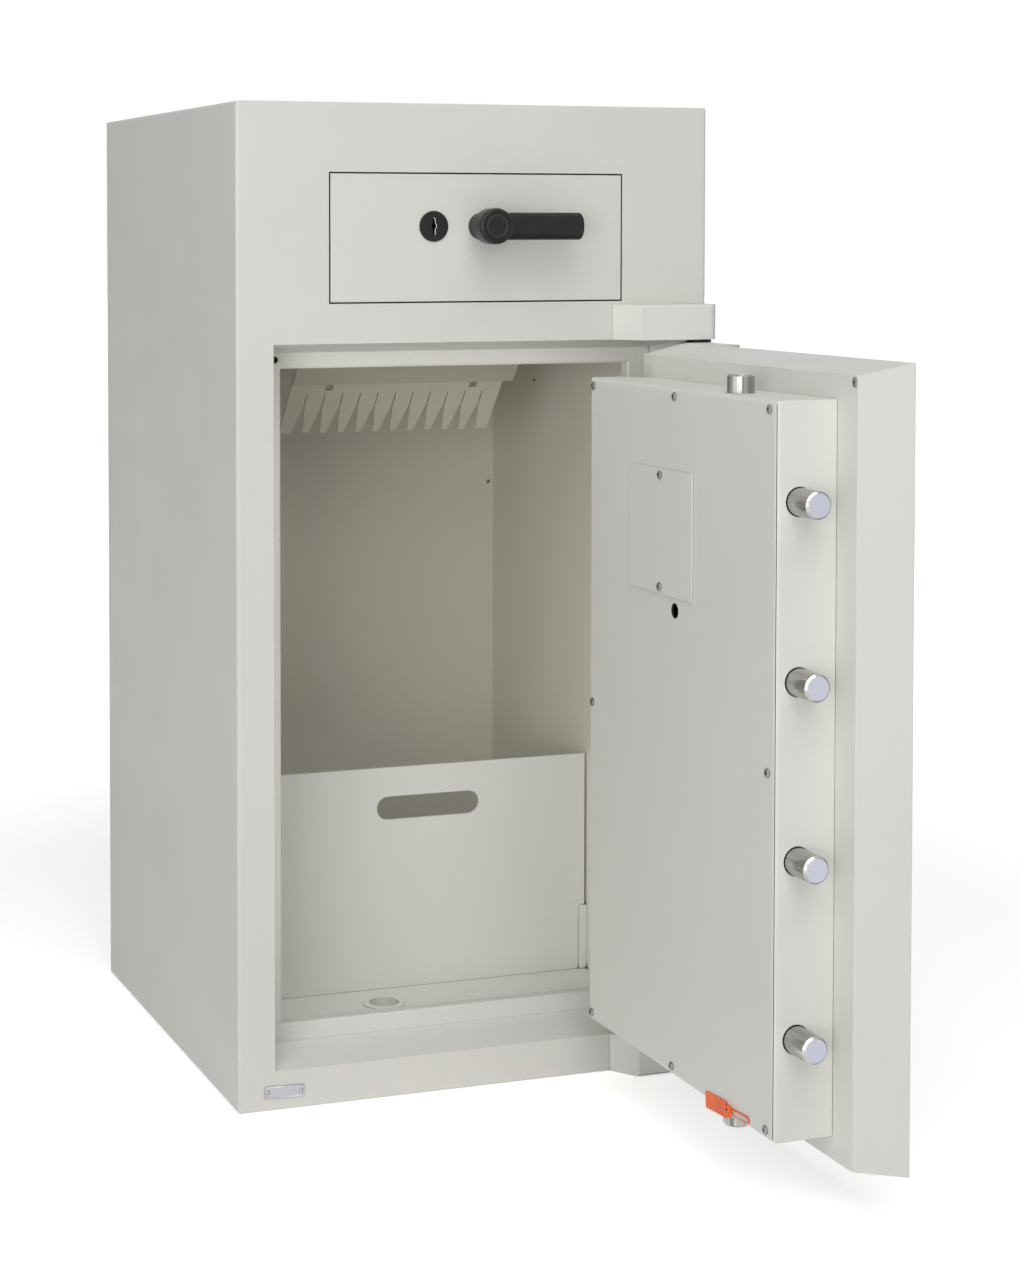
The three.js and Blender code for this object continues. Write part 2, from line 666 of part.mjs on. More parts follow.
function hingeColumn() {
  const shape = new THREE.Shape();
  shape.moveTo(kinkX, leaf.root);
  shape.lineTo(kinkX, 0);
  shape.lineTo(facetX, hingeFront);
  shape.absarc(body.width - hinge.corner, hingeFront + hinge.corner, hinge.corner, -quarter, 0);
  shape.absarc(hingeX, hingeY, hinge.reach, 0, quarter);
  shape.lineTo(leafAt(leaf.root).x1, leaf.root);
  shape.closePath();
  return uprightPrism(shape, leafBottom, leafTop, arcSteps);
}

function panelHole(diameter, x, z, depth) {
  return roundBar(diameter, depth + 2 * overrun, 'back', x, -overrun, z);
}

function makeLeaf() {
  const panel = taperedBlock(leafAt(0), 0, leafAt(leafThick), leafThick);
  const pinBore = hinge.pin + 2 * seatGap;
  const boreDepth = hinge.pinDepth + seatGap;
  const cuts = join([
    roundBar(pinBore, boreDepth + overrun, 'up', hingeX, hingeY, leafBottom - overrun),
    roundBar(pinBore, boreDepth + overrun, 'down', hingeX, hingeY, leafTop + overrun),
    panelHole(cam.spindle + boreGap, camX, camZ, leafThick),
    panelHole(lock.case + boreGap, doorLockX, doorLockZ, leafThick),
    screwBores([rebateScrewPlace], leafThick + overrun, screw.shankLength + rebateScrew.sink + overrun),
    roundBar(
      screw.head + 2 * seatGap, rebateScrew.sink + overrun, 'front', rebateScrewPlace[0],
      leafThick + overrun, rebateScrewPlace[1], smallSides),
  ]);
  const postPlaces = [...freePlaces, ...middlePlaces];
  const posts = postPlaces.map(([x, z]) => roundBar(
    post.diameter, innerFace - seatGap - leafThick / 2, 'back', x, leafThick / 2, z, smallSides));
  return join([panel, hingeColumn(), ...posts]).subtract(cuts)
    .subtract(screwBores(postPlaces, innerFace + overrun, screw.shankLength + overrun));
}

// Cover over the boltwork

function coverPlan(inset) {
  const neckEnd = frameBack + cover.neckClear;
  const slope = (cover.lipClear - cover.neckClear) / (coverLip - coverNeck);
  const slantShift = inset * Math.hypot(1, slope);
  const slantAt = (x) => neckEnd + (x - coverNeck) * slope + slantShift;
  const bend = coverBend - inset;
  const back = inset > 0 ? coverBack - overrun : coverBack;
  const shape = new THREE.Shape();
  const [left, neck, lip] = [coverLeft + inset, coverNeck - inset, coverLip - inset];
  const face = coverFace - inset;
  shape.moveTo(left, back);
  shape.lineTo(neck, back);
  shape.lineTo(neck, slantAt(neck));
  shape.lineTo(lip, slantAt(lip));
  shape.absarc(lip - bend, face - bend, bend, 0, quarter);
  shape.absarc(left + bend, face - bend, bend, quarter, 2 * quarter);
  shape.closePath();
  return shape;
}

function coverBlock(inset) {
  const bend = coverBend - inset;
  const side = roundedRectangle(
    -bend, coverFace - inset, coverBottom + inset, coverTop - inset, bend);
  return uprightPrism(coverPlan(inset), coverBottom + inset, coverTop - inset)
    .intersect(crossPrism(side, 0, body.width));
}

function makeCover() {
  const shell = coverBlock(0).subtract(coverBlock(cover.sheet));
  const boltHole = bolt.diameter + 2 * boreGap;
  const window = box(
    accessLeft + accessPlate.border, accessRight - accessPlate.border, innerFace - overrun,
    coverFace + overrun, accessBottom + accessPlate.border, accessTop - accessPlate.border);
  const cuts = [
    ...sideBoltRows.map((z) => roundBar(
      boltHole, cover.sheet + 2 * overrun, 'right', coverLeft - overrun, boltY, z)),
    roundBar(boltHole, cover.sheet + 2 * overrun, 'up', endBoltX, boltY, coverBottom - overrun),
    roundBar(boltHole, cover.sheet + 2 * overrun, 'down', endBoltX, boltY, coverTop + overrun),
    roundBar(cover.spindleHole, cover.sheet + 2 * overrun, 'back', camX, innerFace - overrun, camZ),
    screwBores(coverScrewPlaces, coverFace + overrun, cover.sheet + 2 * overrun),
    screwBores(accessScrewPlaces, coverFace + overrun, cover.sheet + 2 * overrun),
    window,
  ];
  return shell.subtract(join(cuts));
}

// A pan head screw whose head seats at y, with a cross recess
function makeScrew(x, z, y) {
  const radius = screw.head / 2;
  const shank = screw.shank / 2;
  const top = y + screw.headHeight;
  const arms = [[screw.cross / 2, screw.slot / 2], [screw.slot / 2, screw.cross / 2]];
  const recess = arms.map(([wide, tall]) => box(
    x - wide, x + wide, top - screw.slotDepth, top + overrun, z - tall, z + tall));
  return turned([
    [0, -screw.shankLength], [shank, -screw.shankLength], [shank, 0], [radius, 0], [radius, screw.headEdge],
    [screw.crown / 2, screw.headHeight], [0, screw.headHeight],
  ], 'back', x, y, z, smallSides).subtract(join(recess));
}

const accessLeft = camX - accessPlate.leftReach;
const accessRight = accessLeft + accessPlate.width;
const accessBottom = camZ + accessPlate.lift;
const accessTop = accessBottom + accessPlate.height;
const accessMiddle = (accessLeft + accessRight) / 2;
const accessScrewPlaces = [
  [accessMiddle, accessBottom + accessPlate.screwInset],
  [accessMiddle, accessTop - accessPlate.screwInset],
];
const accessFace = coverFace + seatGap + accessPlate.sheet;

function makeAccessPlate() {
  const shape = roundedRectangle(accessLeft, accessRight, accessBottom, accessTop, accessPlate.corner);
  return facePrism(shape, coverFace + seatGap, accessFace)
    .subtract(screwBores(accessScrewPlaces, accessFace + overrun, accessPlate.sheet + 2 * overrun));
}

function makeDeadBar() {
  const right = coverNeck - cover.sheet - seatGap;
  const face = innerFace - seatGap;
  const toe = coverLip - cover.sheet - seatGap;
  const section = outline([
    [right - deadBar.thick, coverBack], [right, coverBack], [right, face - deadBar.footDepth],
    [toe, face - deadBar.footDepth], [toe, face], [right - deadBar.thick, face],
  ]);
  const reach = cover.sheet + seatGap;
  return uprightPrism(section, coverBottom + reach, coverTop - reach)
    .subtract(screwBores(hingePlaces, innerFace + overrun, screw.shankLength + overrun));
}

// Boltwork: the bolts are laid out thrown

function boltProfile(length) {
  const radius = bolt.diameter / 2;
  return [[0, 0], [radius, 0], [radius, length - bolt.bevel], [radius - bolt.bevel, length], [0, length]];
}

function makeSideBolt(z) {
  return turned(boltProfile(sideBolts.length), 'left', boltTip + sideBolts.length, boltY, z, boltSides);
}

function makeBoltGuide() {
  const x0 = coverLeft + boltGuide.inset;
  const reach = bolt.diameter / 2 + boltGuide.margin;
  const bar = box(
    x0, x0 + boltGuide.thick, coverBack, innerFace - seatGap, lowestBolt - reach, highestBolt + reach);
  return bar.subtract(join(sideBoltRows.map((z) => roundBar(
    bolt.diameter + 2 * slideGap, boltGuide.thick + 2 * overrun, 'right',
    x0 - overrun, boltY, z))));
}

const sidePin = { x: camX - cam.sideOut, z: camZ };
const upPin = { x: camX, z: camZ + cam.endOut };
const downPin = { x: camX, z: camZ - cam.endOut };

function makePin(place) {
  return roundBar(cam.pin, armY + carrier.thick - camY, 'back', place.x, camY, place.z, smallSides);
}

function makeSideCarrier() {
  const x0 = boltTip + sideBolts.length + seatGap;
  const webDepth = boltY + bolt.diameter / 2;
  const web = box(
    x0, x0 + carrier.thick, armY, webDepth, lowestBolt - carrier.margin, highestBolt + carrier.margin);
  const arm = box(
    x0, sidePin.x + carrier.pinMargin, armY, armY + carrier.thick,
    camZ - carrier.armHalf, camZ + carrier.armHalf);
  return join([web, arm, makePin(sidePin)]);
}

// A flat rod from the cam pin to the foot that carries an end bolt
function makeRod(pin, tip, side) {
  const seat = tip - side * (endBolts.length + seatGap);
  const foot = seat - side * carrier.thick;
  const pinEnd = pin.z - side * carrier.rodHalf;
  const left = endBoltX - carrier.rodHalf;
  const parts = [
    box(left, endBoltX + carrier.rodHalf, armY, armY + carrier.thick,
      Math.min(pinEnd, seat), Math.max(pinEnd, seat)),
    box(left, pin.x + carrier.pinMargin, armY, armY + carrier.thick,
      pin.z - carrier.rodHalf, pin.z + carrier.rodHalf),
    box(endBoltX - carrier.footHalf, endBoltX + carrier.footHalf, armY,
      boltY + carrier.footHalf, Math.min(foot, seat), Math.max(foot, seat)),
  ];
  return join([...parts, makePin(pin)]);
}

// A slot through the disc whose radius shrinks evenly as the disc turns a quarter
function camSlot(startAngle, outRadius, stroke) {
  const half = cam.pin / 2 + slideGap;
  const from = -cam.overTurn * degree;
  const sweep = quarter - 2 * from;
  const inward = stroke / quarter;
  const edgePoint = (share, side) => {
    const turnAngle = from + sweep * share;
    const radius = outRadius - inward * turnAngle;
    const angle = startAngle + turnAngle;
    const steepness = Math.atan2(inward, radius);
    const lean = angle + steepness;
    return [
      camX + radius * Math.cos(angle) + side * half * Math.cos(lean),
      camZ + radius * Math.sin(angle) + side * half * Math.sin(lean),
    ];
  };
  const shares = Array.from({ length: cam.slotSteps + 1 }, (_, step) => step / cam.slotSteps);
  const outer = shares.map((share) => edgePoint(share, 1));
  const inner = shares.map((share) => edgePoint(share, -1)).reverse();
  return facePrism(outline([...outer, ...inner]), camY - overrun, camY + cam.thick + overrun);
}

function makeCam() {
  const disc = roundBar(2 * cam.radius, cam.thick, 'back', camX, camY, camZ, discSides);
  const hub = roundBar(
    cam.hub, cam.hubLength + cam.thick / 2, 'back', camX, camY - cam.hubLength, camZ);
  const notch = roundBar(
    2 * (doorLock.reach + doorLock.notchGap), cam.thick + 2 * overrun, 'back',
    doorLockX, camY - overrun, doorLockZ);
  const bore = roundBar(
    cam.spindle + 2 * seatGap, cam.hubLength + cam.thick + 2 * overrun, 'back',
    camX, camY - cam.hubLength - overrun, camZ);
  const slots = [
    camSlot(2 * quarter, cam.sideOut, sideBolts.stroke),
    camSlot(quarter, cam.endOut, endBolts.stroke),
    camSlot(3 * quarter, cam.endOut, endBolts.stroke),
  ];
  return disc.add(hub).subtract(join([notch, bore, ...slots]));
}

// The spindle ends behind the disc, with a collar that keeps the disc on it
function makeDoorSpindle() {
  const discBack = camY + cam.thick;
  const collar = roundBar(cam.collar, cam.collarThick, 'back', camX, discBack + seatGap, camZ);
  return makeSpindle(camX, camZ, discBack + seatGap + cam.collarThick).add(collar);
}

// Deposit drawer

function makeDrawerFront() {
  return box(drawerLeft, drawerRight, 0, drawerThick, drawerBottom, drawerTop)
    .subtract(panelHole(cam.spindle + boreGap, latchX, spindleZ, drawerThick))
    .subtract(panelHole(lock.case + boreGap, drawerLockX, spindleZ, drawerThick));
}

const trayLeft = drawerLeft + tray.sideInset;
const trayRight = drawerRight - tray.sideInset;
const trayBottom = drawerBottom + tray.lift;
const trayTop = drawerTop - tray.topDrop;
const trayFloor = drawerBottom + tray.floorRise;
const trayFront = tongueY + lock.tongueThick + tray.frontGap;
const floorEnd = throat.front - tray.throatLap;
const runnerFront = drawerThick + runner.setback;
const barBottom = shelfTop + runner.height + runner.play;

function makeTray() {
  const behindFront = drawerThick + seatGap;
  const slideBar = box(
    trayLeft - runner.barThick, trayLeft + tray.sheet, runnerFront, tray.rear,
    barBottom, barBottom + runner.barHeight);
  const floorFront = trayFront + tray.sheet;
  const floor = outline([
    [trayFront, trayFloor], [floorFront, trayFloor], [floorEnd, trayBottom + tray.sheet],
    [floorEnd, trayBottom], [floorEnd - tray.sheet, trayBottom],
    [trayFront, trayFloor - tray.sheet],
  ]);
  return join([
    box(trayLeft, trayLeft + tray.sheet, behindFront, tray.rear, trayBottom, trayTop),
    box(trayRight - tray.sheet, trayRight, behindFront, tray.rear, trayBottom, trayTop),
    box(trayLeft, trayRight, trayFront, floorFront, trayFloor - tray.sheet, trayTop),
    box(trayLeft, trayRight, tray.rear - tray.sheet, tray.rear, trayBottom, trayTop),
    crossPrism(floor, trayLeft, trayRight),
    slideBar,
    mirrored(slideBar),
  ]);
}

function makeRunner() {
  const web = trayLeft - runner.barThick - runner.play;
  const low = barBottom - runner.play;
  const high = barBottom + runner.barHeight + runner.play;
  const base = shelfTop + seatGap;
  const section = [
    box(web - runner.sheet, web, runnerFront, runner.rear, base, high + runner.sheet),
    box(web - runner.sheet, web + runner.lip, runnerFront, runner.rear, high, high + runner.sheet),
    box(web - runner.sheet, web + runner.lip, runnerFront, runner.rear, low - runner.sheet, low),
    box(web - runner.foot, web, runnerFront, runner.rear, base, base + runner.sheet),
  ];
  return join(section);
}

// Security tag on the cover

function makeTag() {
  const flag = facePrism(
    roundedRectangle(-tag.width / 2, tag.width / 2, -tag.height / 2, tag.height / 2, tag.corner),
    0, tag.thick);
  const headRight = tag.corner - tag.width / 2;
  const headLeft = headRight - tag.head;
  const head = facePrism(
    roundedRectangle(headLeft, headRight, -tag.head / 2, tag.head / 2, 2 * tag.corner), 0, tag.headThick);
  const end = headLeft - tag.strapLength;
  const half = tag.strapHeight / 2;
  const loop = roundedRectangle(end, headLeft + tag.corner, -half, half, half);
  loop.holes.push(roundedRectangle(
    end + tag.strapWidth, headLeft + tag.corner - tag.strapWidth, tag.strapWidth - half,
    half - tag.strapWidth, half - tag.strapWidth));
  return join([flag, head, facePrism(loop, 0, tag.thick)])
    .rotate([0, tag.tilt, 0])
    .translate([coverLeft + tag.inset, coverFace + seatGap, coverBottom + tag.lift]);
}

// Assembly

const cabinet = new THREE.Group();
cabinet.add(
  piece('cabinet_body', makeBody(), 'paint'),
  piece('compartment_shelf', makeShelf(), 'inside'),
  piece('door_stop_frame', makeStopFrame(), 'paint'),
  piece('hinge_block_lower', makeHingeBlock(body.wall, 0), 'paint'),
  piece('hinge_block_upper', makeHingeBlock(doorwayTop, doorwayTop + hinge.block), 'paint'),
  piece('hinge_pin_lower', makeHingePin(body.wall), 'steel'),
  piece('hinge_pin_upper', makeHingePin(leafTop), 'steel'),
  piece('comb_carrier', makeCombCarrier(), 'inside'),
  piece('drop_comb', makeComb(), 'inside'),
  piece('retainer_guide_left', makePlateGuide(), 'inside'),
  piece('retainer_guide_right', mirrored(makePlateGuide()), 'inside'),
  piece('anchor_grommet', makeAnchorGrommet(), 'paint'),
  piece('drawer_runner_left', makeRunner(), 'steel'),
  piece('drawer_runner_right', mirrored(makeRunner()), 'steel'),
  piece('bare_nameplate', makeNameplate(), 'steel'),
  piece('retainer_plate', makeRetainer(), 'paint'),
);

const depositDrawer = new THREE.Group();
depositDrawer.add(
  piece('drawer_front', makeDrawerFront(), 'paint'),
  piece('drawer_tray', makeTray(), 'inside'),
  piece('drawer_lever', makeLever(latchX, spindleZ), 'black'),
  piece('drawer_spindle', makeSpindle(
    latchX, spindleZ, tongueY + lock.tongueThick + seatGap), 'steel'),
  piece('drawer_latch_tongue', boredTongue(
    makeTongue(latchX, spindleZ, tongueY, drawer.latchReach, 1),
    latchX, spindleZ, tongueY), 'steel'),
  piece('drawer_lock_rose', makeRose(drawerLockX, spindleZ), 'black'),
  piece('drawer_lock_case', makeLockCase(drawerLockX, spindleZ, drawerThick), 'brass'),
  piece('drawer_lock_core', makeLockCore(drawerLockX, spindleZ, tongueY), 'brass'),
  piece('drawer_lock_tongue', makeTongue(
    drawerLockX, spindleZ, tongueY, drawer.lockReach, -1), 'steel'),
);

const door = new THREE.Group();
door.add(
  piece('door_leaf', makeLeaf(), 'paint'),
  piece('boltwork_cover', makeCover(), 'paint'),
  ...coverScrewPlaces.map(([x, z], place) => piece(
    `cover_screw_${place + 1}`, makeScrew(x, z, coverFace + seatGap), 'chrome')),
  piece('access_plate', makeAccessPlate(), 'paint'),
  ...accessScrewPlaces.map(([x, z], place) => piece(
    `access_screw_${place + 1}`, makeScrew(x, z, accessFace + seatGap), 'chrome')),
  piece('rebate_screw', makeScrew(
    ...rebateScrewPlace, leafThick - rebateScrew.sink + seatGap), 'chrome'),
  piece('hinge_side_bar', makeDeadBar(), 'steel'),
  piece('bolt_guide', makeBoltGuide(), 'steel'),
  ...sideBoltRows.map((z, row) => piece(`side_bolt_${row + 1}`, makeSideBolt(z), 'chrome')),
  piece('side_bolt_carrier', makeSideCarrier(), 'steel'),
  piece('upper_bolt', turned(
    boltProfile(endBolts.length), 'up', endBoltX, boltY, upperTip - endBolts.length, boltSides), 'chrome'),
  piece('upper_rod', makeRod(upPin, upperTip, 1), 'steel'),
  piece('lower_bolt', turned(
    boltProfile(endBolts.length), 'down', endBoltX, boltY, lowerTip + endBolts.length, boltSides), 'chrome'),
  piece('lower_rod', makeRod(downPin, lowerTip, -1), 'steel'),
  piece('boltwork_cam', makeCam(), 'steel'),
  piece('door_spindle', makeDoorSpindle(), 'steel'),
  piece('door_lever', makeLever(camX, camZ), 'black'),
  piece('door_lock_rose', makeRose(doorLockX, doorLockZ), 'black'),
  piece('door_lock_case', makeLockCase(doorLockX, doorLockZ, leafThick), 'brass'),
  piece('door_lock_core', makeLockCore(doorLockX, doorLockZ, camY), 'brass'),
  piece('door_lock_tongue', makeTongue(doorLockX, doorLockZ, camY, doorLock.reach, 1), 'steel'),
  piece('security_tag', makeTag(), 'orange'),
);

// The door turns about the hinge axis from closed to the open rest pose
door.position.set(-hingeX, -hingeY, 0);
const openDoor = new THREE.Group();
openDoor.add(door);
openDoor.rotation.z = leaf.openAngle * degree;
openDoor.position.set(hingeX, hingeY, 0);

const safe = new THREE.Group();
safe.name = 'drop_safe';
safe.add(cabinet, depositDrawer, openDoor);
safe.position.set(-middleX, -body.depth / 2, 0);

export default safe;
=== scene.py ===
"""A light grey drop safe with a deposit drawer and its thick door standing open."""

import json
import math

import bmesh
import bpy
from mathutils import Matrix, Vector


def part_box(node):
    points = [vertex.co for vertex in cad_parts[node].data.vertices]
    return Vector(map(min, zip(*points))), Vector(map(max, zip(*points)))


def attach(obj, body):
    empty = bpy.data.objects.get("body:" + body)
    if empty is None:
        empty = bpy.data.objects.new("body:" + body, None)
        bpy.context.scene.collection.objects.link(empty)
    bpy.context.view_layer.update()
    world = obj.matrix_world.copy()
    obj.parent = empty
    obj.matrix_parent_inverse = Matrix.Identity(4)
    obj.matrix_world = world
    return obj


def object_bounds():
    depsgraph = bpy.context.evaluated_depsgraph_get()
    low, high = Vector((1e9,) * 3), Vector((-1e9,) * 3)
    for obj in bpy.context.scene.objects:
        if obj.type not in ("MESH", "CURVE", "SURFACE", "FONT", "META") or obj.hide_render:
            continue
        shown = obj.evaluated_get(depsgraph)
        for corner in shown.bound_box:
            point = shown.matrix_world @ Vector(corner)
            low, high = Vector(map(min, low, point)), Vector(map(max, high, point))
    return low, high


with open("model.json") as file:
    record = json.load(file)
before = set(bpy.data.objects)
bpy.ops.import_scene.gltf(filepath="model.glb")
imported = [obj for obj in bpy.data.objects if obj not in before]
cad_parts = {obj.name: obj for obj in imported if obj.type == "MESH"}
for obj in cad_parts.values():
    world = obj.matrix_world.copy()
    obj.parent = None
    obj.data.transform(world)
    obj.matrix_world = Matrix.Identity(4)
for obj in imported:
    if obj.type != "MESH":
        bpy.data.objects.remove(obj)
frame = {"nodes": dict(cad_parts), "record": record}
cad_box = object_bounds()


# Shader helpers


def new_material(name):
    material = bpy.data.materials.new(name)
    material.use_nodes = True
    return material, material.node_tree, material.node_tree.nodes["Principled BSDF"]


def add_noise(tree, scale, detail=3.0, roughness=0.5, stretch=(1, 1, 1)):
    """Noise in the object's own space, with scale in waves per metre."""
    coordinates = tree.nodes.new("ShaderNodeTexCoord")
    mapping = tree.nodes.new("ShaderNodeMapping")
    mapping.inputs["Scale"].default_value = stretch
    noise = tree.nodes.new("ShaderNodeTexNoise")
    noise.inputs["Scale"].default_value = scale
    noise.inputs["Detail"].default_value = detail
    noise.inputs["Roughness"].default_value = roughness
    tree.links.new(coordinates.outputs["Object"], mapping.inputs["Vector"])
    tree.links.new(mapping.outputs["Vector"], noise.inputs["Vector"])
    return noise.outputs["Fac"]


def add_parts(tree, coordinate="Object"):
    """The X, Y and Z outputs of a texture coordinate."""
    coordinates = tree.nodes.new("ShaderNodeTexCoord")
    parts = tree.nodes.new("ShaderNodeSeparateXYZ")
    tree.links.new(coordinates.outputs[coordinate], parts.inputs["Vector"])
    return parts.outputs


def add_math(tree, operation, *values):
    node = tree.nodes.new("ShaderNodeMath")
    node.operation = operation
    for socket, value in zip(node.inputs, values):
        if isinstance(value, (int, float)):
            socket.default_value = value
        else:
            tree.links.new(value, socket)
    return node.outputs["Value"]


def add_range(tree, value, from_low, from_high, to_low=0, to_high=1):
    node = tree.nodes.new("ShaderNodeMapRange")
    for name, number in (
        ("From Min", from_low),
        ("From Max", from_high),
        ("To Min", to_low),
        ("To Max", to_high),
    ):
        node.inputs[name].default_value = number
    tree.links.new(value, node.inputs["Value"])
    return node.outputs["Result"]


def add_mix(tree, factor, first, second):
    node = tree.nodes.new("ShaderNodeMix")
    node.data_type = "RGBA"
    for socket, colour in ((node.inputs[6], first), (node.inputs[7], second)):
        if isinstance(colour, tuple):
            socket.default_value = (*colour, 1)
        else:
            tree.links.new(colour, socket)
    tree.links.new(factor, node.inputs[0])
    return node.outputs[2]


def add_relief(tree, shader, layers, edge):
    """Bump layers of (height, strength, distance), over edges rounded by edge metres."""
    bevel = tree.nodes.new("ShaderNodeBevel")
    bevel.samples = 6
    bevel.inputs["Radius"].default_value = edge
    normal = bevel.outputs["Normal"]
    for height, strength, distance in layers:
        bump = tree.nodes.new("ShaderNodeBump")
        bump.inputs["Strength"].default_value = strength
        bump.inputs["Distance"].default_value = distance
        tree.links.new(height, bump.inputs["Height"])
        tree.links.new(normal, bump.inputs["Normal"])
        normal = bump.outputs["Normal"]
    tree.links.new(normal, shader.inputs["Normal"])


GAP_OPEN = 0.5
GAP_CLOSED = 0.32


def add_gap_shade(tree, colour, shade, reach):
    """The colour, turned to shade in gaps that are narrower than reach metres."""
    near = tree.nodes.new("ShaderNodeAmbientOcclusion")
    near.samples = 8
    near.inputs["Distance"].default_value = reach
    return add_mix(tree, add_range(tree, near.outputs["AO"], GAP_OPEN, GAP_CLOSED), colour, shade)


def shade_of(colour, share):
    return tuple(min(1.0, share * channel) for channel in colour)


def inside_box(tree, low, high):
    """1 inside a box in the object's own space, and 0 outside it."""
    parts = add_parts(tree)
    inside = None
    for axis, start, end in zip("XYZ", low, high):
        near = add_math(tree, "COMPARE", parts[axis], (start + end) / 2, (end - start) / 2)
        inside = add_math(tree, "MULTIPLY", inside, near) if inside else near
    return inside


# Kinds of material


def paint(name, light, dark, roughness, edge, lit_zones=(), lit_rise=None):
    """Fine powder coat: a faint mottle, a small grain and a slow ripple of the sheet,
    with painted shade in narrow gaps.

    lit_zones are (colour, box): painted light, a coat of that colour on the faces inside
    a box. lit_rise is (colour, low, high): painted light, a coat of that colour above a
    height, which it reaches slowly."""
    material, tree, shader = new_material(name)
    mottle = add_noise(tree, 5.5, detail=4.0, roughness=0.55)
    speck = add_noise(tree, 420, detail=2.0)
    grain = add_noise(tree, 900, detail=2.0)
    ripple = add_noise(tree, 9, detail=1.0)
    sheen = add_noise(tree, 14)
    coat = add_mix(tree, add_range(tree, mottle, 0.3, 0.7), light, dark)
    # Painted light: a brighter coat inside the boxes and above the height.
    for colour, box in lit_zones:
        coat = add_mix(tree, inside_box(tree, *box), coat, colour)
    if lit_rise:
        colour, low, high = lit_rise
        coat = add_mix(tree, add_range(tree, add_parts(tree)["Z"], low, high), coat, colour)
    flecks = add_range(tree, speck, 0.62, 0.75, to_high=0.35)
    coat = add_mix(tree, flecks, coat, shade_of(dark, 0.96))
    shaded = add_gap_shade(tree, coat, shade_of(dark, 0.07), reach=0.008)
    tree.links.new(shaded, shader.inputs["Base Color"])
    gloss = add_range(tree, sheen, 0.3, 0.7, roughness - 0.05, roughness + 0.06)
    tree.links.new(gloss, shader.inputs["Roughness"])
    shader.inputs["Specular IOR Level"].default_value = 0.3
    add_relief(tree, shader, [(grain, 0.35, 0.00012), (ripple, 0.25, 0.0012)], edge)
    return material


def metal(name, colour, roughness, grain, stretch, contrast=0.25, face=None):
    """Metal with fine lines along one way. face is (axis, colour, roughness) of its flat ends."""
    material, tree, shader = new_material(name)
    shader.inputs["Metallic"].default_value = 1.0
    cloud = add_noise(tree, 60, detail=4.0)
    lines = add_noise(tree, grain, detail=2.0, stretch=stretch)
    tint = add_mix(tree, add_range(tree, cloud, 0.35, 0.75), colour, shade_of(colour, 0.86))
    line_colour = shade_of(colour, 1 - contrast)
    drawn = add_mix(tree, add_range(tree, lines, 0.35, 0.68), tint, line_colour)
    if face:
        axis, end_colour, end_roughness = face
        turned = add_math(tree, "ABSOLUTE", add_parts(tree, "Normal")[axis])
        flat = add_range(tree, turned, 0.97, 0.99)
        drawn = add_mix(tree, flat, drawn, end_colour)
        gloss = add_range(tree, flat, 0, 1, roughness, end_roughness)
    else:
        wear = add_noise(tree, 180)
        gloss = add_range(tree, wear, 0.3, 0.7, roughness * 0.8, roughness * 1.3)
    shaded = add_gap_shade(tree, drawn, shade_of(colour, 0.1), reach=0.003)
    tree.links.new(shaded, shader.inputs["Base Color"])
    tree.links.new(gloss, shader.inputs["Roughness"])
    add_relief(tree, shader, [(lines, 0.25, 0.00006)], edge=0.0004)
    return material


def plastic(name, colour, roughness, edge, specular, strand=None):
    """Moulded plastic. strand is (colour, box) of the part inside a box."""
    material, tree, shader = new_material(name)
    cloud = add_noise(tree, 45)
    wear = add_noise(tree, 90)
    grain = add_noise(tree, 1300, detail=2.0)
    paler = tuple(min(1.0, 1.25 * channel + 0.002) for channel in colour)
    tint = add_mix(tree, add_range(tree, cloud, 0.35, 0.7), colour, paler)
    if strand:
        strand_colour, box = strand
        tint = add_mix(tree, inside_box(tree, *box), tint, strand_colour)
    shaded = add_gap_shade(tree, tint, shade_of(colour, 0.15), reach=0.0015)
    tree.links.new(shaded, shader.inputs["Base Color"])
    gloss = add_range(tree, wear, 0.3, 0.7, roughness - 0.06, roughness + 0.08)
    tree.links.new(gloss, shader.inputs["Roughness"])
    shader.inputs["Specular IOR Level"].default_value = specular
    add_relief(tree, shader, [(grain, 0.3, 0.0001)], edge)
    return material


# Materials, by the record's slots and then the pieces' own

SHEET_EDGE = 0.0005
BODY_EDGE = 0.0011
ANY_WAY = (1, 1, 1)
ALONG_X = (0.05, 1, 1)
ALONG_Z = (1, 1, 0.05)
CHROME = (0.5, 0.495, 0.475)
CHROME_END = (0.45, 0.46, 0.53)
CHROME_END_ROUGHNESS = 0.42
PALE_STRAND = ((0.8, 0.47, 0.36), ((0, -0.75, 0.05), (0.6, -0.6195, 0.0773)))

MATERIALS = {
    "grey_paint": paint(
        "grey_paint", (0.712, 0.71, 0.673), (0.69, 0.688, 0.65), 0.5, BODY_EDGE
    ),
    "inner_paint": paint(
        "inner_paint", (0.74, 0.74, 0.7), (0.72, 0.72, 0.68), 0.52, SHEET_EDGE
    ),
    "chrome": metal("chrome", (0.34, 0.34, 0.35), 0.3, 700, ANY_WAY),
    "bare_steel": metal("bare_steel", (0.45, 0.45, 0.45), 0.34, 900, ALONG_Z),
    "black_coat": plastic("black_coat", (0.0035, 0.0032, 0.0034), 0.27, 0.0006, 0.33),
    "brass": metal("brass", (0.62, 0.44, 0.18), 0.28, 900, (1, 1, 0.1)),
    "orange_plastic": plastic(
        "orange_plastic", (0.8, 0.135, 0.04), 0.42, 0.0004, 0.2, PALE_STRAND
    ),
}

